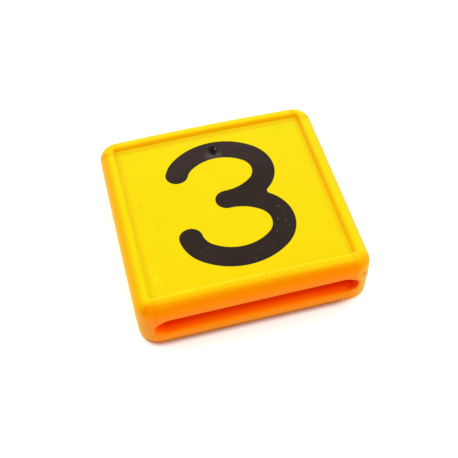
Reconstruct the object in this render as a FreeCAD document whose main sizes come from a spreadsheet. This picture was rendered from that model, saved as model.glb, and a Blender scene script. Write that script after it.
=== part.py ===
"""Collar number tag: a square moulded block with a strap slot and a numeral moulded into its face.

The block lies on its flat back, +Z up, and the strap passes through it along Y.
All sizes are millimetres, angles are degrees.
"""
import FreeCAD, Part
import math
import os
import Sketcher
from FreeCAD import Rotation, Vector

doc = FreeCAD.newDocument("CollarNumberTag")
sheet = doc.addObject("Spreadsheet::Sheet", "Sizes")

SIZES = [
    # the strap and its slot
    ("strap_width", 40.0, "the neck strap that the tag slides onto"),
    ("strap_clearance", 0.95, "between the strap's edge and each end of the slot"),
    ("slot_height", 4.15, "room for the strap's thickness"),
    ("slot_end_reach", 3.2, "length over which the slot narrows to its end"),
    ("slot_tip_radius", 1.45, "radius of the slot's very end"),
    ("lip_radius", 0.8, "rounded lips of the slot's two mouths"),
    # the block round the slot
    ("side_wall", 3.55, "from each end of the slot to the side of the block"),
    ("floor_thickness", 4.775, "from the flat back up to the slot"),
    ("roof_thickness", 3.575, "from the slot up to the middle of the face"),
    ("block_length", 48.5, "along the strap, at the parting line"),
    ("crown_rise", 0.48, "how much the middle of the top stands above its left and right ends"),
    ("parting_step", 0.12, "the lower half is this much smaller all round"),
    ("lower_draft", 1.5, "draft of the side walls below the parting line; above it they are upright"),
    ("corner_radius", 4.1, "upright corners"),
    ("crown_radius", 2.2, "outer edge of the rim"),
    ("foot_radius", 2.6, "edge round the back"),
    # the recessed face
    ("rim_width", 3.5, "from the back or a side of the block to the edge of the face"),
    ("front_rim_width", 4.3, "from the front of the block to the edge of the face"),
    ("rim_slope", 1.1, "part of that width over which the rim rounds down to the face"),
    ("recess_depth", 0.6, "from the crest of the rim to the face"),
    # the numeral
    ("numeral_depth", 1.0, "thickness of the numeral under the middle of the face"),
    ("stroke_width", 4.95, "width of the numeral's stroke"),
    ("bar_offset", 0.57, "middle bar of the numeral, above the middle of the block"),
    ("bar_reach", 0.3, "how far the middle bar runs past the middle before its round end"),
    ("upper_half_width", 9.6, "upper bowl: half its width, to the middle of the stroke"),
    ("upper_half_height", 7.35, "upper bowl: half its height, to the middle of the stroke"),
    ("upper_turn_radius", 6.1, "upper bowl: radius of its sides, to the middle of the stroke"),
    ("upper_terminal", 2.2, "upper bowl: its end lies this far above the bowl's middle"),
    ("lower_half_width", 10.0, "lower bowl: half its width, to the middle of the stroke"),
    ("lower_half_height", 7.75, "lower bowl: half its height, to the middle of the stroke"),
    ("lower_turn_radius", 6.5, "lower bowl: radius of its sides, to the middle of the stroke"),
    ("lower_terminal", 0.45, "lower bowl: its end lies this far below the bowl's middle"),
    ("waist_radius", 0.9, "notch between the bowls, on the outside"),
    ("gate_x", 0.0, "moulding gate on the numeral, from the middle of the block"),
    ("gate_y", 14.9, "moulding gate on the numeral, from the middle of the block"),
    ("gate_width", 1.3, "across the pit that the gate leaves"),
    ("gate_depth", 0.25, "depth of the pit that the gate leaves"),
]
for row, (alias, size, note) in enumerate(SIZES, start=1):
    sheet.set("A%d" % row, alias)
    sheet.set("B%d" % row, str(size))
    sheet.set("C%d" % row, note)
    sheet.setAlias("B%d" % row, alias)
doc.recompute()

# Sizes that follow from the sheet. The mould parts at the slot's middle, half way up its ends.
SLOT_WIDTH = "(Sizes.strap_width + 2 * Sizes.strap_clearance)"
BLOCK_WIDTH = "(%s + 2 * Sizes.side_wall)" % SLOT_WIDTH
PARTING_HEIGHT = "(Sizes.floor_thickness + Sizes.slot_height / 2)"
FACE_HEIGHT = "(Sizes.floor_thickness + Sizes.slot_height + Sizes.roof_thickness)"
BLOCK_HEIGHT = "(%s + Sizes.recess_depth)" % FACE_HEIGHT
# The slot's tip is kept smaller than a full round of the slot's height.
SLOT_TIP = "min(Sizes.slot_tip_radius; 0.9 * Sizes.slot_height / 2)"
# The top is part of a wide cylinder along Y, and the face lies on a smaller one round the same axis.
TOP_RADIUS = "((%s / 2) ^ 2 + Sizes.crown_rise ^ 2) / (2 * Sizes.crown_rise)" % BLOCK_WIDTH
FACE_RADIUS = "%s - Sizes.recess_depth" % TOP_RADIUS
TOP_AXIS = "%s - %s" % (BLOCK_HEIGHT, TOP_RADIUS)
# The rim's inner side is a round that leaves its crest level and meets the face in a crease.
CREST = "(Sizes.rim_width - Sizes.rim_slope)"
RIM_ROUND = "((Sizes.rim_slope ^ 2 + Sizes.recess_depth ^ 2) / (2 * Sizes.recess_depth))"
# The rim is wider in front, so the recess is shorter by that and its middle lies further back.
FRONT_EXTRA = "(Sizes.front_rim_width - Sizes.rim_width)"
RECESS_LENGTH = "(Sizes.block_length - %s)" % FRONT_EXTRA
NUMERAL_FLOOR = "(%s - Sizes.numeral_depth)" % FACE_HEIGHT
# Forms that are trimmed, and the forms that trim them, run past the block by this much.
OVERRUN = 3
LID = "%s + %d" % (BLOCK_HEIGHT, 2 * OVERRUN)


def value(expression):
    """The number that an expression over the sheet gives now."""
    return float(sheet.evalExpression(expression))


def bind(obj, **expressions):
    for name, expression in expressions.items():
        obj.setExpression(name, expression)


def plane(body, role):
    return next(f for f in body.Origin.OriginFeatures if f.Role == role)


def body_sketch(body, name, role, height=None):
    """A sketch on one of the body's own origin planes, moved along its normal to a height."""
    sketch = body.newObject("Sketcher::SketchObject", name)
    sketch.AttachmentSupport = [(plane(body, role), "")]
    sketch.MapMode = "FlatFace"
    if height:
        sketch.setExpression("AttachmentOffset.Base.z", height)
    return sketch


def dimension(sketch, kind, *where, size):
    """A dimensional constraint whose value follows an expression over the sheet."""
    index = sketch.addConstraint(Sketcher.Constraint(kind, *where, value(size)))
    sketch.setExpression("Constraints[%d]" % index, size)


def tangent_chain(sketch, joints):
    for first, first_end, second, second_end in joints:
        sketch.addConstraint(Sketcher.Constraint("Tangent", first, first_end, second, second_end))


def arc(x, y, radius, start, end):
    return Part.ArcOfCircle(Part.Circle(Vector(x, y, 0), Vector(0, 0, 1), radius), start, end)


def line(x0, y0, x1, y1):
    return Part.LineSegment(Vector(x0, y0, 0), Vector(x1, y1, 0))


def rounded_rectangle(sketch, width, length, radius):
    """A rectangle centred on the origin with rounded corners."""
    x, y, r = value(width) / 2, value(length) / 2, value(radius)
    quarter = math.pi / 2
    sketch.addGeometry([
        line(r - x, -y, x - r, -y), arc(x - r, r - y, r, -quarter, 0),
        line(x, r - y, x, y - r), arc(x - r, y - r, r, 0, quarter),
        line(x - r, y, r - x, y), arc(r - x, y - r, r, quarter, 2 * quarter),
        line(-x, y - r, -x, r - y), arc(r - x, r - y, r, 2 * quarter, 3 * quarter)])
    tangent_chain(sketch, [(i, 2, (i + 1) % 8, 1) for i in range(8)])
    for kind, side in (("Horizontal", 0), ("Vertical", 2), ("Horizontal", 4), ("Vertical", 6)):
        sketch.addConstraint(Sketcher.Constraint(kind, side))
    for corner in (3, 5, 7):
        sketch.addConstraint(Sketcher.Constraint("Equal", 1, corner))
    sketch.addConstraint(Sketcher.Constraint("Symmetric", 1, 3, 5, 3, -1, 1))
    dimension(sketch, "DistanceX", 6, 1, 2, 1, size=width)
    dimension(sketch, "DistanceY", 0, 1, 4, 1, size=length)
    dimension(sketch, "Radius", 1, size=radius)


def slot_outline(sketch):
    """The strap slot's outline: flat above and below, with an oval end of three arcs at each side."""
    half_height, tip, z = value("Sizes.slot_height / 2"), value(SLOT_TIP), value(PARTING_HEIGHT)
    run = value("Sizes.slot_end_reach") - tip
    shoulder = (run ** 2 + half_height ** 2 - tip ** 2) / (2 * (half_height - tip))
    drop = shoulder - half_height
    x, turn = value(SLOT_WIDTH) / 2 - tip - run, math.atan2(drop, run)
    up, left, down = math.pi / 2, math.pi, 3 * math.pi / 2
    sketch.addGeometry([
        line(-x, z - half_height, x, z - half_height),
        arc(x, z + drop, shoulder, -up, -turn), arc(x + run, z, tip, -turn, turn),
        arc(x, z - drop, shoulder, turn, up),
        line(x, z + half_height, -x, z + half_height),
        arc(-x, z - drop, shoulder, up, left - turn), arc(-x - run, z, tip, left - turn, left + turn),
        arc(-x, z + drop, shoulder, left + turn, down)])
    tangent_chain(sketch, [(i, 2, (i + 1) % 8, 1) for i in range(8)])
    for flat in (0, 4):
        sketch.addConstraint(Sketcher.Constraint("Horizontal", flat))
    for first, second in ((1, 3), (1, 5), (1, 7), (2, 6)):
        sketch.addConstraint(Sketcher.Constraint("Equal", first, second))
    sketch.addConstraint(Sketcher.Constraint("Vertical", 1, 3, 3, 3))
    sketch.addConstraint(Sketcher.Constraint("Symmetric", 2, 3, 6, 3, -2))
    dimension(sketch, "Radius", 2, size=SLOT_TIP)
    dimension(sketch, "DistanceX", 1, 3, 2, 3, size="Sizes.slot_end_reach - %s" % SLOT_TIP)
    dimension(sketch, "DistanceX", 6, 3, 2, 3, size="%s - 2 * %s" % (SLOT_WIDTH, SLOT_TIP))
    dimension(sketch, "DistanceY", 0, 2, 4, 1, size="Sizes.slot_height")
    dimension(sketch, "DistanceY", -1, 1, 2, 3, size=PARTING_HEIGHT)


def arched(sketch, width, radius, level):
    """A closed outline between an arc round the top's axis and a straight line at a level."""
    x, r, z, straight = value(width) / 2, value(radius), value(TOP_AXIS), value(level)
    tilt = math.asin(x / r)
    spring = z + r * math.cos(tilt)
    sketch.addGeometry([
        arc(0, z, r, math.pi / 2 - tilt, math.pi / 2 + tilt),
        line(-x, spring, -x, straight), line(-x, straight, x, straight), line(x, straight, x, spring)])
    for joint in ((0, 2, 1, 1), (1, 2, 2, 1), (2, 2, 3, 1), (3, 2, 0, 1)):
        sketch.addConstraint(Sketcher.Constraint("Coincident", *joint))
    for kind, side in (("Vertical", 1), ("Horizontal", 2), ("Vertical", 3)):
        sketch.addConstraint(Sketcher.Constraint(kind, side))
    sketch.addConstraint(Sketcher.Constraint("Symmetric", 0, 1, 0, 2, -2))
    dimension(sketch, "Radius", 0, size=radius)
    dimension(sketch, "DistanceY", 0, 3, -1, 1, size="-(%s)" % TOP_AXIS)
    dimension(sketch, "DistanceX", 2, 1, 2, 2, size=width)
    dimension(sketch, "DistanceY", -1, 1, 2, 1, size=level)


def pad(body, name, sketch, length):
    feature = body.newObject("PartDesign::Pad", name)
    feature.Profile = sketch
    bind(feature, Length=length)
    return feature


def pocket_both_ways(body, name, sketch, length=None):
    feature = body.newObject("PartDesign::Pocket", name)
    feature.Profile = sketch
    feature.SideType = "Symmetric"
    if length:
        feature.Length = value(length)
        bind(feature, Length=length)
    else:
        feature.Type = "ThroughAll"
    return feature


def edges_where(shape, test):
    """Names of the edges whose every sampled point passes the test."""
    names = []
    for index, edge in enumerate(shape.Edges, start=1):
        if all(test(point) for point in edge.discretize(5)):
            names.append("Edge%d" % index)
    return names


def fillet(body, name, base, test, radius):
    doc.recompute()
    feature = body.newObject("PartDesign::Fillet", name)
    feature.Base = (base, edges_where(base.Shape, test))
    bind(feature, Radius=radius)
    return feature


# Lower half of the block: from the parting line down to the flat back.
lower = doc.addObject("PartDesign::Body", "LowerHalf")
outline = body_sketch(lower, "LowerOutline", "XY_Plane", PARTING_HEIGHT)
rounded_rectangle(outline, BLOCK_WIDTH + " - 2 * Sizes.parting_step",
                  "Sizes.block_length - 2 * Sizes.parting_step", "Sizes.corner_radius")
walls = pad(lower, "LowerWalls", outline, PARTING_HEIGHT)
walls.Reversed = True
bind(walls, TaperAngle="-Sizes.lower_draft")
fillet(lower, "FootEdge", walls, lambda p: p.z < 0.01, "Sizes.foot_radius")
slot = body_sketch(lower, "SlotBelow", "XZ_Plane")
slot_outline(slot)
slot_floor = pocket_both_ways(lower, "SlotFloor", slot)


def at_mouth(point):
    """Whether a point lies on the outline of one of the slot's two mouths."""
    return (abs(point.x) < value(SLOT_WIDTH) / 2 + 0.01
            and abs(point.z - value(PARTING_HEIGHT)) < value("Sizes.slot_height / 2") + 0.01
            and abs(point.y) > value("Sizes.block_length / 2 - Sizes.corner_radius"))


fillet(lower, "LowerLip", slot_floor, at_mouth, "Sizes.lip_radius")

# Upper half of the block: from the parting line up to the arched top, with the recessed face.
upper = doc.addObject("PartDesign::Body", "UpperHalf")
outline = body_sketch(upper, "UpperOutline", "XY_Plane", PARTING_HEIGHT)
rounded_rectangle(outline, BLOCK_WIDTH, "Sizes.block_length", "Sizes.corner_radius")
pad(upper, "UpperWalls", outline, "%s + %d - %s" % (BLOCK_HEIGHT, OVERRUN, PARTING_HEIGHT))
arch = body_sketch(upper, "TopArch", "XZ_Plane")
arched(arch, "%s + %d" % (BLOCK_WIDTH, 2 * OVERRUN), TOP_RADIUS, LID)
top = pocket_both_ways(upper, "ArchedTop", arch)


def on_top(point):
    """Whether a point lies on the arched top."""
    return abs(math.hypot(point.x, point.z - value(TOP_AXIS)) - value(TOP_RADIUS)) < 0.01


fillet(upper, "Crown", top, on_top, "Sizes.crown_radius")
slot = body_sketch(upper, "SlotAbove", "XZ_Plane")
slot_outline(slot)
slot_roof = pocket_both_ways(upper, "SlotRoof", slot)
fillet(upper, "UpperLip", slot_roof, at_mouth, "Sizes.lip_radius")
# The recess is first cut a little deeper than the rim's round, which needs a wall of its own
# height to roll on. The face then closes it from below, half way down to the slot.
WELL_DEPTH = "1.1 * %s" % RIM_ROUND
FACE_UNDERSIDE = "%s - Sizes.roof_thickness / 2" % FACE_HEIGHT
WELL_INSET = "2 * (%s + %s)" % (CREST, RIM_ROUND)
RECESS_BACK = "-%s / 2" % FRONT_EXTRA
well = body_sketch(upper, "WellProfile", "XZ_Plane", RECESS_BACK)
arched(well, "%s - %s" % (BLOCK_WIDTH, WELL_INSET), "%s - %s" % (TOP_RADIUS, WELL_DEPTH), LID)
recess = pocket_both_ways(upper, "RecessWell", well, "%s - %s" % (RECESS_LENGTH, WELL_INSET))


def on_well_rim(point):
    """Whether a point lies on the upper edge of the recess's well."""
    reach_x = value("(%s - %s) / 2" % (BLOCK_WIDTH, WELL_INSET)) + 0.01
    reach_y = value("(%s - %s) / 2" % (RECESS_LENGTH, WELL_INSET)) + 0.01
    middle = -value(RECESS_BACK)
    return on_top(point) and abs(point.x) < reach_x and abs(point.y - middle) < reach_y


fillet(upper, "RimRound", recess, on_well_rim, RIM_ROUND)
plate = body_sketch(upper, "FaceProfile", "XZ_Plane", RECESS_BACK)
arched(plate, "%s - 2 * %s" % (BLOCK_WIDTH, CREST), FACE_RADIUS, FACE_UNDERSIDE)
face = pad(upper, "Face", plate, "%s - 2 * %s" % (RECESS_LENGTH, CREST))
face.SideType = "Symmetric"

block = doc.addObject("Part::Fuse", "Block")
block.Base, block.Tool = lower, upper


# The numeral's form: two bowls of one stroke width that share the middle bar. It reaches from
# the floor of the numeral's pocket to above the rim, so that it can both cut the pocket and be
# trimmed to the face.
def bowl(name, side, half_width, half_height, turn_radius, terminal):
    """Middle line of a bowl, an oval of tangent arcs from its end round to the middle bar.

    side is 1 for the bowl above the bar and -1 for the one below it.
    """
    w, h, r = value(half_width), value(half_height), value(turn_radius)
    drop = ((w - r) ** 2 - (h - r) ** 2) / (2 * (h - r))
    turn = math.atan2(drop, w - r)
    finish = math.asin(value(terminal) / r)
    bar, reach = value("Sizes.bar_offset"), value("Sizes.bar_reach")
    middle = bar + side * h
    sketch = doc.addObject("Sketcher::SketchObject", name)
    sketch.setExpression("Placement.Base.z", NUMERAL_FLOOR)
    arcs = [(r - w, middle, r, math.pi - turn, math.pi - finish),
            (0, middle - side * drop, drop + h, turn, math.pi - turn),
            (w - r, middle, r, -turn, turn),
            (0, middle + side * drop, drop + h, -math.pi / 2, -turn)]
    for x, y, radius, start, end in arcs:
        sketch.addGeometry(arc(x, y, radius, *((start, end) if side > 0 else (-end, -start))))
    sketch.addGeometry(line(0, bar, -reach, bar))
    first, last = (1, 2) if side > 0 else (2, 1)
    tangent_chain(sketch, [(0, first, 1, last), (1, first, 2, last), (2, first, 3, last), (3, first, 4, 1)])
    sketch.addConstraint(Sketcher.Constraint("Horizontal", 4))
    sketch.addConstraint(Sketcher.Constraint("Horizontal", 0, 3, 2, 3))
    sketch.addConstraint(Sketcher.Constraint("Equal", 0, 2))
    sketch.addConstraint(Sketcher.Constraint("Equal", 1, 3))
    for flat in (1, 3):
        sketch.addConstraint(Sketcher.Constraint("PointOnObject", flat, 3, -2))
    dimension(sketch, "Radius", 2, size=turn_radius)
    dimension(sketch, "DistanceX", -1, 1, 2, 3, size="%s - %s" % (half_width, turn_radius))
    dimension(sketch, "DistanceX", 4, 2, -1, 1, size="Sizes.bar_reach")
    dimension(sketch, "DistanceY", -1, 1, 4, 2, size="Sizes.bar_offset")
    if side > 0:
        dimension(sketch, "DistanceY", 4, 1, 2, 3, size=half_height)
        dimension(sketch, "DistanceY", 0, 3, 0, last, size=terminal)
    else:
        dimension(sketch, "DistanceY", 2, 3, 4, 1, size=half_height)
        dimension(sketch, "DistanceY", 0, last, 0, 3, size=terminal)

    stroke = doc.addObject("Part::Offset2D", name + "Stroke")
    stroke.Source = sketch
    stroke.Mode, stroke.Join, stroke.Fill = "Pipe", "Arc", True
    bind(stroke, Value="Sizes.stroke_width / 2")
    prism = doc.addObject("Part::Extrusion", name + "Prism")
    prism.Base = stroke
    prism.Dir = Vector(0, 0, 1)
    prism.Solid = True
    bind(prism, LengthFwd="%s + %d - %s" % (BLOCK_HEIGHT, OVERRUN, NUMERAL_FLOOR))
    return prism


bowls = doc.addObject("Part::Fuse", "Bowls")
bowls.Base = bowl("UpperBowl", 1, "Sizes.upper_half_width", "Sizes.upper_half_height",
                  "Sizes.upper_turn_radius", "Sizes.upper_terminal")
bowls.Tool = bowl("LowerBowl", -1, "Sizes.lower_half_width", "Sizes.lower_half_height",
                  "Sizes.lower_turn_radius", "Sizes.lower_terminal")
bowls.Refine = True
doc.recompute()

# The notch between the bowls is the upright edge on the right that is nearest the bar's level.
upright = [(abs(edge.Vertexes[0].Y - value("Sizes.bar_offset")), index)
           for index, edge in enumerate(bowls.Shape.Edges, start=1)
           if edge.BoundBox.XMin > 0.5 and edge.BoundBox.ZLength > 1]
form = doc.addObject("Part::Fillet", "NumeralForm")
form.Base = bowls
form.Edges = [(min(upright)[1], value("Sizes.waist_radius"), value("Sizes.waist_radius"))]

# The block with the numeral's pocket cut in its face.
tag_body = doc.addObject("Part::Cut", "TagBody")
tag_body.Base, tag_body.Tool = block, form
tag_body.Label = "tag_body"

# The numeral fills its pocket and is trimmed flush with the arched face.
face_form = doc.addObject("Part::Cylinder", "FaceForm")
bind(face_form, Radius=FACE_RADIUS, Height="Sizes.block_length",
     **{"Placement.Base.y": "Sizes.block_length / 2", "Placement.Base.z": TOP_AXIS})
face_form.Placement.Rotation = Rotation(Vector(1, 0, 0), 90)
flush = doc.addObject("Part::Common", "FlushNumeral")
flush.Base, flush.Tool = form, face_form

# The moulding gate leaves a small pit in the top of the upper bowl.
GATE_RADIUS = "((Sizes.gate_width / 2) ^ 2 + Sizes.gate_depth ^ 2) / (2 * Sizes.gate_depth)"
gate = doc.addObject("Part::Sphere", "Gate")
bind(gate, Radius=GATE_RADIUS,
     **{"Placement.Base.x": "Sizes.gate_x", "Placement.Base.y": "Sizes.gate_y",
        "Placement.Base.z": "%s - Sizes.gate_depth + %s" % (FACE_HEIGHT, GATE_RADIUS)})
numeral = doc.addObject("Part::Cut", "Numeral")
numeral.Base, numeral.Tool = flush, gate
numeral.Label = "numeral_three"
doc.recompute()

SUB_PARTS = [tag_body, numeral]
for obj in doc.Objects:
    if "Invalid" in obj.State or "Error" in obj.State:
        raise RuntimeError("%s failed: %s" % (obj.Name, obj.State))
    if obj.TypeId == "PartDesign::Pocket" and obj.Shape.Volume > obj.BaseFeature.Shape.Volume - 1:
        raise RuntimeError("%s cuts nothing" % obj.Name)
for part in SUB_PARTS:
    if part.Shape.isNull() or not part.Shape.isValid() or len(part.Shape.Solids) != 1:
        raise RuntimeError("%s has no valid single solid" % part.Label)

os.makedirs("parts", exist_ok=True)
for part in SUB_PARTS:
    part.Shape.exportStep("parts/%s.step" % part.Label)
    box = part.Shape.optimalBoundingBox()
    print("%s: volume %.1f, X %.2f to %.2f, Y %.2f to %.2f, Z %.2f to %.2f" % (
        part.Label, part.Shape.Volume, box.XMin, box.XMax, box.YMin, box.YMax, box.ZMin, box.ZMax))
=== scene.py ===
"""Collar number tag: finishes, small marks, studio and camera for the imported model.

Everything is in metres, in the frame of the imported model: the block lies on its flat back,
+Z up, with the strap slot along Y and the numeral read from -Y. The materials work in
millimetres, as the marks were measured.
"""
import math
import bmesh
import bpy
from mathutils import Matrix, Vector, noise


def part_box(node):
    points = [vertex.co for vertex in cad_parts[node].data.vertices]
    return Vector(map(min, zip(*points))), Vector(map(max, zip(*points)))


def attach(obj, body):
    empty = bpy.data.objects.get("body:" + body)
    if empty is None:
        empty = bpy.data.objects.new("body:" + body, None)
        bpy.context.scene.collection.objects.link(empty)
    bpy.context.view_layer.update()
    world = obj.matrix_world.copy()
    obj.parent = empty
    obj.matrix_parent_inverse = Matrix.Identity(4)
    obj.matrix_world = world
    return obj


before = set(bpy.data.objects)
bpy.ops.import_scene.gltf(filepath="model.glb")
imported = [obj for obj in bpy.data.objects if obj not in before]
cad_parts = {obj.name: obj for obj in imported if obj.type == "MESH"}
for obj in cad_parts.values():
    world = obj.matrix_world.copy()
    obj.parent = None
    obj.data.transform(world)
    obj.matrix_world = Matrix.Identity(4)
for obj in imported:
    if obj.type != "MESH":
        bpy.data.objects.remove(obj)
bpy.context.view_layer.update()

MM = 0.001
BLOCK_LOW, BLOCK_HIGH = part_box("tag_body")
FACE_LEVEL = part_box("numeral_three")[1].z / MM

# In the tables of shades below, three numbers multiply red, green and blue, and a lone number
# multiplies green and blue. A pair of values says where a mask is 0 and where it is 1. Both are in mm
# along the named axis, unless their comment says otherwise.

# The yellow's colour by the upward part of the surface's direction, from walls at 0 to flat at 1, with
# light and shade painted in: yellow where a surface faces up and is lit, orange on the walls in shade.
# The back and the right of the block are painted as more lit, so they are yellower than the front and the
# left.
DULL_SIDE = [(0, "E6B203"), (0.3, "E6B203"), (0.5, "E6AE03"), (0.7, "E8A803"), (0.866, "EBAD03"),
             (0.94, "EEB704"), (0.985, "F0C406"), (1, "F0D609")]
BRIGHT_SIDE = [(0, "E6B703"), (0.5, "E6C203"), (0.766, "E8C903"), (0.866, "EBD004"), (0.94, "EED705"),
               (0.985, "F0D808"), (1, "F0D609")]
TOWARDS_LIGHT = (0.5, 0.5, 0)
DULL_TO_BRIGHT = (-0.5, 0.5)

# Painted shade: the front rim and wall are more orange than the rest. Along Y.
FRONT_SHADE = [(-24.2, (1.22, 0.54, 0.63)), (-23.95, (1.2, 0.56, 0.6)), (-23.6, (1.12, 0.58, 0.6)),
               (-23.2, (1.1, 0.645, 0.64)), (-22.4, (1.05, 0.75, 0.75)), (-20.6, (1, 1, 1))]
# At the right end, along X, that painted shade gives way to a lighter painted one round the corner, as
# the surface turns away from the direction given. Level places count as facing the front by the lean.
RIGHT_END = (18.6, 20.6)
CORNER_SHADE = [(-23.2, (1.14, 0.93, 1.2)), (-20.6, (1, 1, 1))]
TOWARDS_FRONT = (-0.45, -0.89, 0)
FRONT_SHARE = [(0.45, (0, 0, 0)), (0.67, (0.12, 0.12, 0.12)), (0.72, (0.2, 0.2, 0.2)),
               (0.8, (0.35, 0.35, 0.35)), (0.85, (0.55, 0.55, 0.55)), (0.89, (0.8, 0.8, 0.8))]
LEVEL_LEAN = (0, -0.15, 0)

# Painted shade: the front rim's crest is more orange to the left: where the crest is along Y, and its
# shade along X.
# It fades out towards the wall, by the upward part of the direction. Round the left corner it turns
# back by so many mm.
CREST = [(-23.1, (0, 0, 0)), (-22.5, (1, 1, 1)), (-21.9, (1, 1, 1)), (-21.2, (0.4, 0.4, 0.4)),
         (-20.4, (0, 0, 0))]
CREST_SHADE = [(-23.6, (1.03, 0.72, 0.8)), (-22.6, (1.02, 0.74, 0.8)), (-19.5, (1, 0.86, 0.86)),
               (-15, (1, 0.92, 0.9)), (-9, (1, 0.93, 0.95)), (-4.5, (1, 1, 1.05)), (2, (1, 1.01, 1.2)),
               (8, (1, 1.05, 1.3)), (15, (1, 1.07, 1.5)), (19.5, (1, 1.05, 1.5)), (21, (1, 1, 1))]
CREST_UPWARD = (0.2, 0.5)
LEFT_CORNER_X = (-22, -24.5)
LEFT_CORNER_TURN = 3.0
# Painted shade makes it more orange again on the right front corner.
RIGHT_CORNER_X = (20, 21.6)
RIGHT_CORNER_Y = (-20, -21.4)
RIGHT_CORNER_SHADE = 0.84

# Painted shade: close to the floor the front is darker, along Z, except at its right end.
FOOT_SHADE = [(1.9, (0.5, 0.52, 0.8)), (2.3, (0.57, 0.6, 1.2)), (2.6, (0.82, 0.86, 2.1)),
              (2.9, (1, 1.07, 2.3)), (3.4, (1, 1.04, 1.6)), (4.3, (1, 1, 1))]
FOOT_X = (20.5, 17.0)
FOOT_Y = (-19.5, -21.5)

# The face's edges, and the painted shade beside them, where the rim shades the face, by how many mm
# outside them a point is. Past the back edge it also paints light and shade on the back rim.
FACE_HALF_WIDTH, FACE_BACK = 21.0, 20.75
SIDE_CREASE = [(-1.2, 1), (-0.8, 0.95), (-0.6, 0.915), (-0.4, 0.885), (-0.2, 0.9), (0, 0.945), (0.4, 1)]
BACK_CREASE = [(-1.7, 1), (-1.2, 0.89), (-0.9, 0.81), (-0.6, 0.81), (-0.4, 0.86), (-0.2, 0.94),
               (0.4, (1.08, 0.96, 0.96)), (0.9, (1.08, 1, 1)), (1.4, (1.03, 0.94, 1)),
               (1.9, (1, 0.95, 1)), (2.4, 1)]
# Painted light: the face is a little lighter at its back than at its front, along Y. By the upward part
# of the direction, this holds where a surface is level.
FACE_LIGHT = [(-20, (1, 0.975, 0.97)), (-8, (1, 1, 1)), (5, (1, 1.01, 1.05)), (18, (1, 1.035, 1.25))]
LEVEL_UPWARD = (0.985, 1)

# The strap slot and its mouths: its middle line, and how far from it they reach
SLOT_LEVEL = 6.85
SLOT_HALF_HEIGHT = 2.3
SLOT_HALF_WIDTH = 21.4
MOUTH = BLOCK_HIGH.y / MM
# The slot's painted shade, as colours on level and on upright parts, by depth from the mouth, and where
# they begin
SLOT_FLOOR_PAINTED_SHADE = [(0.3, "FF7A03"), (0.9, "FF8003"), (1.35, "FF7D02"), (1.7, "FF6C02"), (2.3, "FF5702"),
              (3.5, "FF5001")]
SLOT_WALL_PAINTED_SHADE = [(0.4, "FF7C04"), (1.2, "FF3A02"), (2.2, "FF2601")]
UPRIGHT_TO_LEVEL = (0.1, 0.6)
LIP = (0.25, 0.5)
# A painted red glow on the floor and the roof close to the mouth, by depth
PAINTED_RED_GLOW = [(0.4, (0, 0, 0)), (0.7, (0.07, 0.002, 0)), (1.2, (0.17, 0.004, 0)),
                 (1.9, (0.13, 0.003, 0)), (2.4, (0.04, 0, 0)), (2.8, (0, 0, 0))]
# Painted shade: towards its ends the slot is redder, along X, and this begins at a depth of its own.
SLOT_ENDS_SHADE = [(-20.4, 0.7), (-12, 1), (11, 1), (13.7, 0.83), (17, 0.75), (20.2, 0.56)]
ENDS_LIP = (0.2, 0.35)
# Painted shade where the slot's right end faces left, by the rightward part of the direction.
RIGHT_END_SHADE = [(-0.76, (0.78, 0.6, 0.6)), (-0.68, (0.76, 0.35, 0.35)), (-0.6, (0.76, 0.2, 0.2)),
                   (-0.45, (0.76, 0.22, 0.22)), (-0.35, (0.83, 0.36, 0.36)), (-0.24, (0.95, 0.54, 0.54)),
                   (-0.1, (1, 0.86, 0.86)), (0, (1, 1, 1))]

# Widths of the patterns in the plastic, in mm: clouds of yellow pigment, sink waves and orange peel,
# clouds of black pigment, and the grain of the torn gate stub
CLOUD_WIDTH = 6
WAVE_WIDTH = 9
PEEL_WIDTH = 0.35
BLACK_CLOUD_WIDTH = 3
TEAR_GRAIN_WIDTH = 0.15
# Between these levels of their noise the clouds go from the first shade to the second, and their
# roughness goes from the first value to the second as the noise goes from 0 to 1.
CLOUD_LEVELS = (0.3, 0.7)
CLOUD_SHADES = (0.985, 1.015)
SATIN = (0.28, 0.42)
# Grains of darker pigment in cells of 1.8 mm, most of them empty. Their edge is in cells.
GRAIN_CELLS_PER_MM = 0.55
GRAIN_EDGE = (0.07, 0.03)
GRAINLESS_SHARE = 0.7
GRAIN_COLOUR = "C87E08"

# Marks on the face: both ends in mm from its middle, half width in mm, strength
SCRATCHES = [
    ((-18.67, 5.8), (-18.62, 5.7), 0.3, 0.9), ((-18.25, 4.6), (-18.6, 3.6), 0.22, 0.8),
    ((-18.6, 3.6), (-19.76, 3.3), 0.2, 0.8), ((-19.76, 3.3), (-20.8, 3.6), 0.15, 0.6),
    ((-15.7, 0.1), (-14.4, -2.13), 0.22, 0.45), ((-16.44, -3.38), (-14.92, -2.9), 0.25, 0.6),
    ((-18.65, 16.1), (-18.5, 15.9), 0.3, 0.8), ((-18.1, 16.8), (-17.3, 17.2), 0.2, 0.45)]
RUBS = [
    ((-18.9, -14.8), (-19.2, -16.3), 0.3, 0.9), ((-19.6, -13.2), (-19.75, -14.6), 0.3, 0.7),
    ((-18.3, -15.2), (-18.5, -16.3), 0.25, 0.6), ((-18.1, -16.6), (-18.35, -18), 0.25, 0.5),
    ((-19.3, -11.6), (-19.5, -12.6), 0.25, 0.4)]
# How much of the colour under them scratches and rubs cover, and their own colours
SCRATCH_COVER, SCRATCH_COLOUR = 0.5, "D2AE06"
RUB_COVER, RUB_COLOUR = 0.5, "FFE62A"
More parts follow.
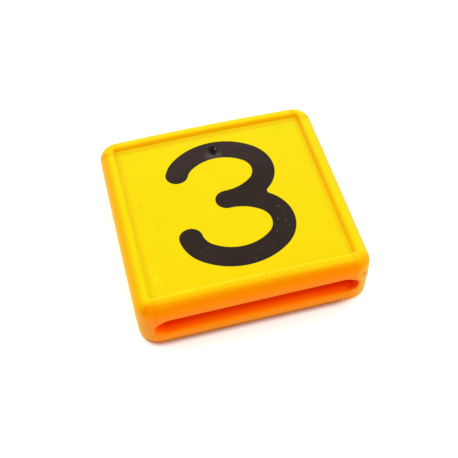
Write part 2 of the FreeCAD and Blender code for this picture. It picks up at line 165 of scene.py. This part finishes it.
# Pale chips in the numeral, in the same way
CHIPS = [
    ((9.8, -4.0), (9.8, -4.15), 0.14, 1.0), ((8.8, -7.1), (8.75, -7.7), 0.12, 0.5),
    ((-7.27, -11.08), (-7.2, -11.08), 0.14, 0.45), ((1.53, -16.29), (1.6, -16.2), 0.14, 0.35),
    ((10.63, -9.7), (10.6, -9.95), 0.12, 0.3), ((3.3, -14.4), (3.2, -14.5), 0.14, 0.25),
    ((10.1, -8.0), (10.2, -8.4), 0.1, 0.3), ((7.8, -10.4), (7.7, -10.7), 0.1, 0.3),
    ((10.6, -11.3), (10.6, -11.6), 0.1, 0.25), ((10.6, -5.3), (10.8, -5.5), 0.1, 0.2),
    ((-8.75, -11.5), (-8.7, -11.4), 0.12, 0.35)]
CHIP_COLOUR = "8A8690"
# A mark is at its full strength within this share of its half width. Its line wavers with a noise
# that lies round its middle value, over so many mm for a noise from 0 to 1.
FULL_WITHIN = 1 / 3
NOISE_MIDDLE = (0.5, 0.5, 0.5)
WAVER_REACH = 0.6
WAVERS_PER_MM = 0.9
# Nicks in the yellow: place in mm and radius
NICKS = [((22.5, -23.65, 9.35), 0.52), ((2.6, -20.5, 12.8), 0.16), ((-8.4, -22.4, 12.6), 0.14),
         ((13.1, -23.2, 11.8), 0.14)]
NICK_COLOUR = "B23A00"
# A darker line in the step at the parting line: how far above and below it, and where along the left
# corner
PARTING_LEVEL = 6.85
PARTING_LINE_REACH = (0.16, 0.06)
PARTING_LINE_X = (-21.8, -23.2)
PARTING_LINE_Y = (-16.5, -20)
PARTING_LINE_COLOUR = "8A5208"

# The numeral's black, and its painted sheen, greyer towards the gate, along Y
BLACKS = [(0.3, "281C16"), (0.7, "2F221C")]
GATE_PAINTED_SHEEN = [(6, (1, 1, 1)), (14, (1.45, 1.55, 1.8))]
# Dust on its lower part, in cells of 0.9 mm, most of them empty. The specks' edge is in cells.
DUST_CELLS_PER_MM = 1.1
SPECK_EDGE = (0.16, 0.05)
DUSTLESS_SHARE = 0.8
DUSTY_Y = (-2.0, -9.0)
DUST_COVER = 0.5
DUST_COLOURS = ("5A5470", "70505A")
# The moulding gate: where it is on the numeral, half the size of the torn patch round it, and the
# patch's edge as a share of that size, once a noise from 0 to the raggedness is added to it
GATE = (0.1, 15.2)
GATE_PATCH = (0.95, 1.5)
TEAR_EDGE = (1.75, 1.4)
RAGGEDNESS = 1.3
TEARS_PER_MM = 2
TEAR_COLOUR = "040303"
# A painted highlight in front of the gate, drawn as marks, and its colour
GATE_PAINTED_HIGHLIGHT = [((-1.2, 13.9), (0.9, 13.6), 1.3, 0.5), ((-0.6, 13.5), (0.8, 13.35), 0.8, 0.55)]
GATE_HIGHLIGHT_COLOUR = "57514F"
# The stub beside it: its place, how deep it sits, half its size, its turn, and how uneven it is
STUB_PLACE = (0.78, 15.6)
STUB_SUNK = 0.03
STUB_HALF_SIZE = (0.2, 0.42, 0.14)
STUB_TURN = math.radians(-25)
STUB_UNEVENNESS = 0.35
STUB_LUMPS = 1.7
STUB_BLACKS = [(0.3, "2A2523"), (0.7, "5C5856")]

# Studio. The panels stand behind the tag, so many degrees round from the front to the right.
WHITE = (1, 1, 1, 1)
UNLIT = (0, 0, 0, 1)
DOME_LIGHT = 1.05
PANELS = {"back_right_panel": 135, "back_left_panel": 225}
PANEL_WATTS = 2.5
PANEL_SIZE = 0.4
PANEL_DISTANCE = 1.0
PANEL_ELEVATION = math.radians(10)
FLOOR_SIZE = 3
# The paper's whiteness as the tag sees it, and overexposed as the camera sees it
PAPER = 0.92
PAPER_AS_SEEN = 1.5
# The paper's painted shadow by how much sky it sees within this distance, from none at 0 to all at 1
UNDERCUT_REACH = 2 * MM
UNDERCUT_PAINTED_SHADOW = [(0.13, (0.6, 0.32, 0.18)), (0.31, (0.78, 0.48, 0.4)), (0.4, (0.93, 0.74, 0.72)),
                  (0.5, (0.98, 0.88, 0.84)), (0.56, (1, 0.99, 0.98)), (0.65, (0.99, 1.02, 1)),
                  (0.75, (0.95, 1, 1)), (1, (1, 1, 1))]

# Camera: the point that it looks at, where it stands from there, and its lens
CAMERA_AIM = Vector((8.08, 2.572, 5.0)) * MM
CAMERA_AZIMUTH = math.radians(-15.347)
CAMERA_ELEVATION = math.radians(50.065)
CAMERA_ROLL = math.radians(-0.159)
CAMERA_DISTANCE = 211.289 * MM
LENS_MM = 74.72
SENSOR_MM = 36
SHIFT_X, SHIFT_Y = -0.0727, -0.0485
NEAREST_SEEN = 10 * MM

# Settings of the mixing node: one colour over another, or one colour multiplied into another
OVER = {"data_type": "RGBA"}
TIMES = {"data_type": "RGBA", "blend_type": "MULTIPLY"}


def linear(colour):
    """A colour for Blender's sockets: from sRGB hex, from a shade's three numbers, or from its one."""
    if isinstance(colour, str):
        channels = [int(colour[i:i + 2], 16) / 255 for i in (0, 2, 4)]
        return (*[c / 12.92 if c <= 0.04045 else ((c + 0.055) / 1.055) ** 2.4 for c in channels], 1)
    if isinstance(colour, tuple):
        return (*colour, 1)
    return (1, colour, colour, 1)


def add(tree, kind, sockets=None, **settings):
    """Adds a shader node. Each socket gets a value or a link, from an output or a node's first one.

    Sockets without a name of their own go by number. MapRange takes a value at 0, its range at 1
    and 2, and gives 3 to 4, or 0 to 1. Mix takes a share at 0 and two colours at 6 and 7.
    """
    made = tree.nodes.new("ShaderNode" + kind)
    for name, setting in settings.items():
        setattr(made, name, setting)
    for socket, given in (sockets or {}).items():
        if isinstance(given, bpy.types.Node):
            given = next(output for output in given.outputs if output.enabled)
        if isinstance(given, bpy.types.NodeSocket):
            tree.links.new(given, made.inputs[socket])
        else:
            made.inputs[socket].default_value = given
    return made


def new_material(name):
    """A material with only its output node."""
    material = bpy.data.materials.new(name)
    material.use_nodes = True
    tree = material.node_tree
    tree.nodes.clear()
    return material, tree, add(tree, "OutputMaterial")


def by_measure(tree, measure, stops):
    """A colour that follows a measure, from (value, colour) stops in the measure's own unit."""
    low, high = stops[0][0], stops[-1][0]
    made = add(tree, "ValToRGB", {0: add(tree, "MapRange", {0: measure, 1: low, 2: high})})
    elements = made.color_ramp.elements
    while len(elements) < len(stops):
        elements.new(1)
    for element, (value, colour) in zip(elements, stops):
        element.position = (value - low) / (high - low)
        element.color = linear(colour)
    return made


def in_millimetres(tree):
    """The point being shaded in mm, its three parts, and the direction that its surface faces."""
    place = add(tree, "TexCoord")
    point = add(tree, "VectorMath", {0: place.outputs["Object"], "Scale": 1 / MM}, operation="SCALE")
    parts = add(tree, "SeparateXYZ", {0: point}).outputs
    return point, parts["X"], parts["Y"], parts["Z"], place.outputs["Normal"]


def strokes(tree, point, marks):
    """How strongly short marks on the face cover a point, from 0 to 1.

    Each mark is a soft-edged line between two points. All waver alike, by a quarter of a millimetre
    at most.
    """
    waver = add(tree, "TexNoise", {"Vector": point, "Scale": WAVERS_PER_MM, "Detail": 1}).outputs["Color"]
    shift = add(tree, "VectorMath", {0: waver, 1: NOISE_MIDDLE}, operation="SUBTRACT")
    reach = (WAVER_REACH, WAVER_REACH, 0)
    shift = add(tree, "VectorMath", {0: shift, 1: reach, 2: point}, operation="MULTIPLY_ADD")
    flat = add(tree, "VectorMath", {0: shift, 1: (1, 1, 0)}, operation="MULTIPLY")
    covered = 0.0
    for start, end, half_width, strength in marks:
        run = Vector((end[0] - start[0], end[1] - start[1], 0))
        offset = add(tree, "VectorMath", {0: flat, 1: (*start, 0)}, operation="SUBTRACT")
        rate = run / run.length_squared
        share = add(tree, "VectorMath", {0: offset, 1: rate}, operation="DOT_PRODUCT")
        share = add(tree, "MapRange", {0: share})
        foot = add(tree, "VectorMath", {0: run, "Scale": share}, operation="SCALE")
        away = add(tree, "VectorMath", {0: offset, 1: foot}, operation="DISTANCE")
        mark = add(tree, "MapRange", {0: away, 1: half_width, 2: half_width * FULL_WITHIN, 4: strength})
        covered = add(tree, "Math", {0: mark, 1: covered}, operation="MAXIMUM")
    return covered


def along_foot(tree, x, y):
    """Where the foot of the front is in shade: all along it, but for its right end."""
    in_front = add(tree, "MapRange", {0: y, 1: FOOT_Y[0], 2: FOOT_Y[1]})
    to_left = add(tree, "MapRange", {0: x, 1: FOOT_X[0], 2: FOOT_X[1]})
    return add(tree, "Math", {0: in_front, 1: to_left}, operation="MULTIPLY")


def yellow_light_and_shade(tree, flat, upward):
    """Painted light and shade: yellow where a surface faces up and is lit, and orange on the walls in
    shade.
    """
    heading = add(tree, "VectorMath", {0: flat}, operation="NORMALIZE")
    side = add(tree, "VectorMath", {0: heading, 1: TOWARDS_LIGHT}, operation="DOT_PRODUCT")
    side = add(tree, "MapRange", {0: side, 1: DULL_TO_BRIGHT[0], 2: DULL_TO_BRIGHT[1]})
    dull, bright = by_measure(tree, upward, DULL_SIDE), by_measure(tree, upward, BRIGHT_SIDE)
    return add(tree, "Mix", {0: side, 6: dull, 7: bright}, **OVER)


def shade_front(tree, colour, y, flat, at_right):
    """The colour with the painted shade of the front rim and wall, lighter round the right corner."""
    facing = add(tree, "VectorMath", {0: flat, 1: LEVEL_LEAN}, operation="ADD")
    facing = add(tree, "VectorMath", {0: facing}, operation="NORMALIZE")
    facing = add(tree, "VectorMath", {0: facing, 1: TOWARDS_FRONT}, operation="DOT_PRODUCT")
    share = by_measure(tree, facing, FRONT_SHARE)
    share = add(tree, "Mix", {0: at_right, 6: WHITE, 7: share}, **OVER)
    corner, middle = by_measure(tree, y, CORNER_SHADE), by_measure(tree, y, FRONT_SHADE)
    front = add(tree, "Mix", {0: share, 6: corner, 7: middle}, **OVER)
    return add(tree, "Mix", {0: 1.0, 6: colour, 7: front}, **TIMES)


def shade_crest(tree, colour, x, y, upward):
    """The colour with the painted shades along the crest of the front rim and on the right front corner.
    """
    upper = add(tree, "MapRange", {0: upward, 1: CREST_UPWARD[0], 2: CREST_UPWARD[1]})
    turn = add(tree, "MapRange", {0: x, 1: LEFT_CORNER_X[0], 2: LEFT_CORNER_X[1], 4: LEFT_CORNER_TURN})
    crest = by_measure(tree, add(tree, "Math", {0: y, 1: turn}, operation="ADD"), CREST)
    crest = add(tree, "Math", {0: crest, 1: upper}, operation="MULTIPLY")
    colour = add(tree, "Mix", {0: crest, 6: colour, 7: by_measure(tree, x, CREST_SHADE)}, **TIMES)

    corner = add(tree, "MapRange", {0: x, 1: RIGHT_CORNER_X[0], 2: RIGHT_CORNER_X[1], 4: upper})
    in_front = add(tree, "MapRange", {0: y, 1: RIGHT_CORNER_Y[0], 2: RIGHT_CORNER_Y[1]})
    corner = add(tree, "Math", {0: corner, 1: in_front}, operation="MULTIPLY")
    return add(tree, "Mix", {0: corner, 6: colour, 7: linear(RIGHT_CORNER_SHADE)}, **TIMES)


def shade_face(tree, colour, x, y, upward):
    """The colour with painted shade on the face close to the rim, and painted light towards its back."""
    beside = add(tree, "Math", {0: x}, operation="ABSOLUTE")
    beside = add(tree, "Math", {0: beside, 1: FACE_HALF_WIDTH}, operation="SUBTRACT")
    behind = add(tree, "Math", {0: y, 1: FACE_BACK}, operation="SUBTRACT")
    colour = add(tree, "Mix", {0: 1.0, 6: colour, 7: by_measure(tree, beside, SIDE_CREASE)}, **TIMES)
    colour = add(tree, "Mix", {0: 1.0, 6: colour, 7: by_measure(tree, behind, BACK_CREASE)}, **TIMES)
    level = add(tree, "MapRange", {0: upward, 1: LEVEL_UPWARD[0], 2: LEVEL_UPWARD[1]})
    return add(tree, "Mix", {0: level, 6: colour, 7: by_measure(tree, y, FACE_LIGHT)}, **TIMES)


def shade_slot(tree, colour, place, rightward, upward, at_right):
    """The colour with the slot's painted shade in it, and the painted red glow there.

    The deeper the slot, the redder its painted shade.
    """
    x, y, z = place
    aside = add(tree, "Math", {0: x}, operation="ABSOLUTE")
    across = add(tree, "Math", {0: aside, 1: SLOT_HALF_WIDTH}, operation="LESS_THAN")
    level = add(tree, "Math", {0: z, 1: SLOT_LEVEL, 2: SLOT_HALF_HEIGHT}, operation="COMPARE")
    within = add(tree, "Math", {0: level, 1: across}, operation="MULTIPLY")
    depth = add(tree, "Math", {0: y}, operation="ABSOLUTE")
    depth = add(tree, "Math", {0: MOUTH, 1: depth}, operation="SUBTRACT")

    levelled = add(tree, "MapRange", {0: upward, 1: UPRIGHT_TO_LEVEL[0], 2: UPRIGHT_TO_LEVEL[1]})
    upright, floor = by_measure(tree, depth, SLOT_WALL_PAINTED_SHADE), by_measure(tree, depth, SLOT_FLOOR_PAINTED_SHADE)
    slot_painted_shade = add(tree, "Mix", {0: levelled, 6: upright, 7: floor}, **OVER)
    inside = add(tree, "MapRange", {0: depth, 1: LIP[0], 2: LIP[1]})
    inside = add(tree, "Math", {0: within, 1: inside}, operation="MULTIPLY")
    colour = add(tree, "Mix", {0: inside, 6: colour, 7: slot_painted_shade}, **OVER)

    ends = add(tree, "MapRange", {0: depth, 1: ENDS_LIP[0], 2: ENDS_LIP[1]})
    ends = add(tree, "Math", {0: within, 1: ends}, operation="MULTIPLY")
    colour = add(tree, "Mix", {0: ends, 6: colour, 7: by_measure(tree, x, SLOT_ENDS_SHADE)}, **TIMES)
    right_end = add(tree, "Math", {0: at_right, 1: ends}, operation="MULTIPLY")
    right_end_painted_shade = by_measure(tree, rightward, RIGHT_END_SHADE)
    colour = add(tree, "Mix", {0: right_end, 6: colour, 7: right_end_painted_shade}, **TIMES)

    painted_glow = add(tree, "Mix", {0: within, 6: UNLIT, 7: by_measure(tree, depth, PAINTED_RED_GLOW)}, **OVER)
    painted_glow = add(tree, "Mix", {0: right_end, 6: painted_glow, 7: right_end_painted_shade}, **TIMES)
    return colour, painted_glow


def cloud_and_grain(tree, colour, point, clouds):
    """The colour with the pigment's clouds and with grains of a quarter of a millimetre, far apart.

    The clouds are too faint to see except as a lack of flatness.
    """
    cloudy = add(tree, "MapRange", {0: clouds, 1: CLOUD_LEVELS[0], 2: CLOUD_LEVELS[1],
                                    3: CLOUD_SHADES[0], 4: CLOUD_SHADES[1]})
    colour = add(tree, "Mix", {0: 1.0, 6: colour, 7: cloudy}, **TIMES)
    grains = add(tree, "TexVoronoi", {"Vector": point, "Scale": GRAIN_CELLS_PER_MM})
    grain = add(tree, "MapRange", {0: grains, 1: GRAIN_EDGE[0], 2: GRAIN_EDGE[1]})
    chance = add(tree, "SeparateXYZ", {0: grains.outputs["Color"]})
    chosen = add(tree, "Math", {0: chance, 1: GRAINLESS_SHARE}, operation="GREATER_THAN")
    grain = add(tree, "Math", {0: grain, 1: chosen}, operation="MULTIPLY")
    return add(tree, "Mix", {0: grain, 6: colour, 7: linear(GRAIN_COLOUR)}, **OVER)


def wear_yellow(tree, colour, point, scratched):
    """The colour with dirty scratches, rubbed places where the skin has gone pale, and nicks."""
    share = add(tree, "Math", {0: scratched, 1: SCRATCH_COVER}, operation="MULTIPLY")
    colour = add(tree, "Mix", {0: share, 6: colour, 7: linear(SCRATCH_COLOUR)}, **OVER)
    share = add(tree, "Math", {0: strokes(tree, point, RUBS), 1: RUB_COVER}, operation="MULTIPLY")
    colour = add(tree, "Mix", {0: share, 6: colour, 7: linear(RUB_COLOUR)}, **OVER)
    for place, radius in NICKS:
        away = add(tree, "VectorMath", {0: point, 1: place}, operation="DISTANCE")
        nick = add(tree, "MapRange", {0: away, 1: radius, 2: radius * FULL_WITHIN})
        colour = add(tree, "Mix", {0: nick, 6: colour, 7: linear(NICK_COLOUR)}, **OVER)
    return colour


def darker_parting_line(tree, colour, x, y, z):
    """The colour darker in the parting line's step, at the left front corner."""
    step = add(tree, "Math", {0: z, 1: PARTING_LEVEL}, operation="SUBTRACT")
    step = add(tree, "Math", {0: step}, operation="ABSOLUTE")
    step = add(tree, "MapRange", {0: step, 1: PARTING_LINE_REACH[0], 2: PARTING_LINE_REACH[1]})
    to_left = add(tree, "MapRange", {0: x, 1: PARTING_LINE_X[0], 2: PARTING_LINE_X[1]})
    in_front = add(tree, "MapRange", {0: y, 1: PARTING_LINE_Y[0], 2: PARTING_LINE_Y[1]})
    corner = add(tree, "Math", {0: to_left, 1: in_front}, operation="MULTIPLY")
    darkened = add(tree, "Math", {0: step, 1: corner}, operation="MULTIPLY")
    return add(tree, "Mix", {0: darkened, 6: colour, 7: linear(PARTING_LINE_COLOUR)}, **OVER)


def satin_skin(tree, point, scratched):
    """Orange peel, waves where the thick block sank as it cooled, and the scratches, as one bump."""
    fine = add(tree, "TexNoise", {"Vector": point, "Scale": 1 / PEEL_WIDTH})
    broad = add(tree, "TexNoise", {"Vector": point, "Scale": 1 / WAVE_WIDTH, "Detail": 1})
    peel = add(tree, "Bump", {"Strength": 0.25, "Distance": 0.01 * MM, "Height": fine})
    waves = add(tree, "Bump", {"Strength": 0.3, "Distance": 0.15 * MM, "Height": broad, "Normal": peel})
    return add(tree, "Bump", {"Strength": 0.4, "Distance": 0.03 * MM, "Height": scratched,
                              "Normal": waves}, invert=True)


def moulded_yellow():
    """Nylon, injection moulded in a lightly polished tool.

    The tool leaves a satin skin with a fine orange peel and a faint waviness. Its colour has light and
    shade painted into it, and the slot's roof and floor have a painted red glow. Solid nylon has an IOR
    of 1.53, and the lower one here, with a yellow tint, gives the soft, weak highlights that the tag
    shows.
    """
    material, tree, output = new_material("moulded_yellow_nylon")
    point, x, y, z, normal = in_millimetres(tree)
    rightward, _, upward = add(tree, "SeparateXYZ", {0: normal}).outputs
    flat = add(tree, "VectorMath", {0: normal, 1: (1, 1, 0)}, operation="MULTIPLY")
    at_right = add(tree, "MapRange", {0: x, 1: RIGHT_END[0], 2: RIGHT_END[1]})

    # The colour from here through the slot has light and shade painted in.
    colour = yellow_light_and_shade(tree, flat, upward)
    colour = shade_front(tree, colour, y, flat, at_right)
    colour = shade_crest(tree, colour, x, y, upward)
    foot = along_foot(tree, x, y)
    # Painted shade along the front's foot, close to the floor.
    colour = add(tree, "Mix", {0: foot, 6: colour, 7: by_measure(tree, z, FOOT_SHADE)}, **TIMES)
    colour = shade_face(tree, colour, x, y, upward)
    # Painted shade in the slot, and its painted red glow.
    colour, painted_glow = shade_slot(tree, colour, (x, y, z), rightward, upward, at_right)

    clouds = add(tree, "TexNoise", {"Vector": point, "Scale": 1 / CLOUD_WIDTH, "Detail": 3})
    gloss = add(tree, "MapRange", {0: clouds, 3: SATIN[0], 4: SATIN[1]})
    scratched = strokes(tree, point, SCRATCHES)
    colour = cloud_and_grain(tree, colour, point, clouds)
    colour = wear_yellow(tree, colour, point, scratched)
    colour = darker_parting_line(tree, colour, x, y, z)
    # The emission is the slot's painted red glow.
    surface = add(tree, "BsdfPrincipled", {
        "Base Color": colour, "Roughness": gloss, "IOR": 1.25, "Specular Tint": (1, 1, 0, 1),
        "Normal": satin_skin(tree, point, scratched), "Emission Color": painted_glow, "Emission Strength": 1.0})
    tree.links.new(surface.outputs[0], output.inputs["Surface"])
    return material


def dust_black(tree, colour, point, y):
    """The colour with dust-fine specks, a few in each square centimetre, some bluish and some pink."""
    dust = add(tree, "TexVoronoi", {"Vector": point, "Scale": DUST_CELLS_PER_MM})
    speck = add(tree, "MapRange", {0: dust, 1: SPECK_EDGE[0], 2: SPECK_EDGE[1]})
    chance = add(tree, "SeparateXYZ", {0: dust.outputs["Color"]})
    chosen = add(tree, "Math", {0: chance.outputs["X"], 1: DUSTLESS_SHARE}, operation="GREATER_THAN")
    speck = add(tree, "Math", {0: speck, 1: chosen}, operation="MULTIPLY")
    lower = add(tree, "MapRange", {0: y, 1: DUSTY_Y[0], 2: DUSTY_Y[1], 4: DUST_COVER})
    speck = add(tree, "Math", {0: speck, 1: lower}, operation="MULTIPLY")
    bluish, pink = linear(DUST_COLOURS[0]), linear(DUST_COLOURS[1])
    tint = add(tree, "Mix", {0: chance.outputs["Y"], 6: bluish, 7: pink}, **OVER)
    return add(tree, "Mix", {0: speck, 6: colour, 7: tint}, **OVER)


def torn_patch(tree, point):
    """How far the plastic round the gate is torn, from 0 to 1, with an uneven edge."""
    offset = add(tree, "VectorMath", {0: point, 1: (*GATE, FACE_LEVEL)}, operation="SUBTRACT")
    rate = (1 / GATE_PATCH[0], 1 / GATE_PATCH[1], 0)
    scaled = add(tree, "VectorMath", {0: offset, 1: rate}, operation="MULTIPLY")
    away = add(tree, "VectorMath", {0: scaled}, operation="LENGTH")
    ragged = add(tree, "TexNoise", {"Vector": point, "Scale": TEARS_PER_MM, "Detail": 2})
    away = add(tree, "Math", {0: ragged, 1: RAGGEDNESS, 2: away}, operation="MULTIPLY_ADD")
    return add(tree, "MapRange", {0: away, 1: TEAR_EDGE[0], 2: TEAR_EDGE[1]})


def moulded_black():
    """Nylon with carbon black, injection moulded flush with the yellow.

    It is a smooth satin with a slightly warm black. Handling has left pale specks and chips in its lower
    half. Its top has a painted sheen, greyer round the gate, which is a dark tear with a painted
    highlight in front of it. The IOR is lower than solid nylon's, as for the yellow.
    """
    material, tree, output = new_material("moulded_black_nylon")
    point, _, y, *_ = in_millimetres(tree)
    clouds = add(tree, "TexNoise", {"Vector": point, "Scale": 1 / BLACK_CLOUD_WIDTH, "Detail": 4})
    colour = by_measure(tree, clouds, BLACKS)
    # Painted sheen, greyer towards the gate.
    colour = add(tree, "Mix", {0: 1.0, 6: colour, 7: by_measure(tree, y, GATE_PAINTED_SHEEN)}, **TIMES)
    colour = dust_black(tree, colour, point, y)
    chipped, highlighted = strokes(tree, point, CHIPS), strokes(tree, point, GATE_PAINTED_HIGHLIGHT)
    colour = add(tree, "Mix", {0: chipped, 6: colour, 7: linear(CHIP_COLOUR)}, **OVER)
    # Painted highlight in front of the gate.
    colour = add(tree, "Mix", {0: highlighted, 6: colour, 7: linear(GATE_HIGHLIGHT_COLOUR)}, **OVER)
    torn = torn_patch(tree, point)
    colour = add(tree, "Mix", {0: torn, 6: colour, 7: linear(TEAR_COLOUR)}, **OVER)
    tear = add(tree, "Bump", {"Strength": 0.8, "Distance": 0.12 * MM, "Height": torn}, invert=True)
    surface = add(tree, "BsdfPrincipled", {
        "Base Color": colour, "Roughness": 0.35, "IOR": 1.2, "Normal": tear})
    tree.links.new(surface.outputs[0], output.inputs["Surface"])
    return material


def torn_black():
    """The same black nylon where the gate was twisted off: shiny, with a coarse grain that is paler."""
    material, tree, output = new_material("torn_black_nylon")
    point, *_ = in_millimetres(tree)
    grain = add(tree, "TexNoise", {"Vector": point, "Scale": 1 / TEAR_GRAIN_WIDTH, "Detail": 3})
    colour = by_measure(tree, grain, STUB_BLACKS)
    bump = add(tree, "Bump", {"Strength": 0.6, "Distance": 0.05 * MM, "Height": grain})
    surface = add(tree, "BsdfPrincipled", {
        "Base Color": colour, "Roughness": 0.25, "IOR": 1.5, "Normal": bump})
    tree.links.new(surface.outputs[0], output.inputs["Surface"])
    return material


def gate_stub():
    """A small torn ridge that stands at the edge of the gate's pit."""
    mesh = bmesh.new()
    bmesh.ops.create_icosphere(mesh, subdivisions=3, radius=1)
    for vertex in mesh.verts:
        uneven = 1 + STUB_UNEVENNESS * noise.noise(vertex.co * STUB_LUMPS)
        stretched = [along * half for along, half in zip(vertex.co, STUB_HALF_SIZE)]
        vertex.co = Vector(stretched) * uneven * MM
    data = bpy.data.meshes.new("gate_stub")
    mesh.to_mesh(data)
    mesh.free()
    data.shade_smooth()
    stub = bpy.data.objects.new("gate_stub", data)
    stub.location = Vector((*STUB_PLACE, FACE_LEVEL - STUB_SUNK)) * MM
    stub.rotation_euler = (0, 0, STUB_TURN)
    data.materials.append(torn_black())
    bpy.context.scene.collection.objects.link(stub)
    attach(stub, "root")


def white_to_the_eye(tree, lit):
    """A level that is white to the camera and in reflections, and the given one as a light."""
    rays = add(tree, "LightPath").outputs
    seen = add(tree, "Math", {0: rays["Is Camera Ray"], 1: rays["Is Glossy Ray"]}, operation="MAXIMUM")
    seen = add(tree, "Math", {0: seen, 1: rays["Is Transmission Ray"]}, operation="MAXIMUM")
    return add(tree, "MapRange", {0: seen, 3: lit, 4: 1.0})


def studio_paper():
    """Matt white paper. The camera sees it overexposed, as in a catalogue picture.

    Under the tag's front edge it has a painted shadow, dark and warm, by how much sky it sees close by.
    """
    material, tree, output = new_material("studio_paper")
    _, x, y, *_ = in_millimetres(tree)
    rays = add(tree, "LightPath").outputs
    level = add(tree, "MapRange", {0: rays["Is Camera Ray"], 3: PAPER, 4: PAPER_AS_SEEN})
    open_sky = add(tree, "AmbientOcclusion", {"Distance": UNDERCUT_REACH}, samples=16).outputs["AO"]
    shade = by_measure(tree, open_sky, UNDERCUT_PAINTED_SHADOW)
    colour = add(tree, "Mix", {0: along_foot(tree, x, y), 6: level, 7: shade}, **TIMES)
    surface = add(tree, "BsdfDiffuse", {"Color": colour})
    tree.links.new(surface.outputs[0], output.inputs["Surface"])
    return material


def studio():
    """A pale floor in a light tent, with a low soft panel on each side behind it."""
    bpy.ops.mesh.primitive_plane_add(size=FLOOR_SIZE, location=(0, 0, BLOCK_LOW.z))
    floor = bpy.context.object
    floor.name = "studio_floor"
    floor.data.materials.append(studio_paper())

    world = bpy.data.worlds.new("light_tent")
    bpy.context.scene.world = world
    world.use_nodes = True
    background = world.node_tree.nodes["Background"]
    level = white_to_the_eye(world.node_tree, DOME_LIGHT)
    world.node_tree.links.new(level.outputs[0], background.inputs["Strength"])
    background.inputs["Color"].default_value = WHITE

    for name, degrees in PANELS.items():
        around = math.radians(degrees)
        towards = Vector((math.sin(around), -math.cos(around), math.tan(PANEL_ELEVATION)))
        panel = bpy.data.lights.new(name, "AREA")
        panel.shape = "DISK"
        panel.size = PANEL_SIZE
        panel.energy = PANEL_WATTS
        lamp = bpy.data.objects.new(name, panel)
        lamp.location = towards * PANEL_DISTANCE
        lamp.rotation_mode = "QUATERNION"
        lamp.rotation_quaternion = towards.to_track_quat("Z", "Y")
        lamp.visible_glossy = False
        bpy.context.scene.collection.objects.link(lamp)


def camera():
    """The photograph's camera: from the front left and well above, looking right of the tag's middle."""
    back = Vector((math.sin(CAMERA_AZIMUTH) * math.cos(CAMERA_ELEVATION),
                   -math.cos(CAMERA_AZIMUTH) * math.cos(CAMERA_ELEVATION),
                   math.sin(CAMERA_ELEVATION)))
    right = (-back).cross(Vector((0, 0, 1))).normalized()
    up = back.cross(right)
    turned = (right * math.cos(CAMERA_ROLL) + up * math.sin(CAMERA_ROLL),
              up * math.cos(CAMERA_ROLL) - right * math.sin(CAMERA_ROLL), back)
    data = bpy.data.cameras.new("photo_camera")
    data.lens = LENS_MM
    data.sensor_width = SENSOR_MM
    data.shift_x, data.shift_y = SHIFT_X, SHIFT_Y
    data.clip_start = NEAREST_SEEN
    made = bpy.data.objects.new("photo_camera", data)
    made.matrix_world = (Matrix.Translation(CAMERA_AIM + back * CAMERA_DISTANCE)
                         @ Matrix(turned).transposed().to_4x4())
    bpy.context.scene.collection.objects.link(made)
    bpy.context.scene.camera = made


def finish_node(name, material):
    """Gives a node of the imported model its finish."""
    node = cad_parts[name]
    node.data.materials.clear()
    node.data.materials.append(material)
    node.data.shade_smooth()


finish_node("tag_body", moulded_yellow())
finish_node("numeral_three", moulded_black())
gate_stub()
studio()
camera()
bpy.context.scene.view_settings.view_transform = "Standard"
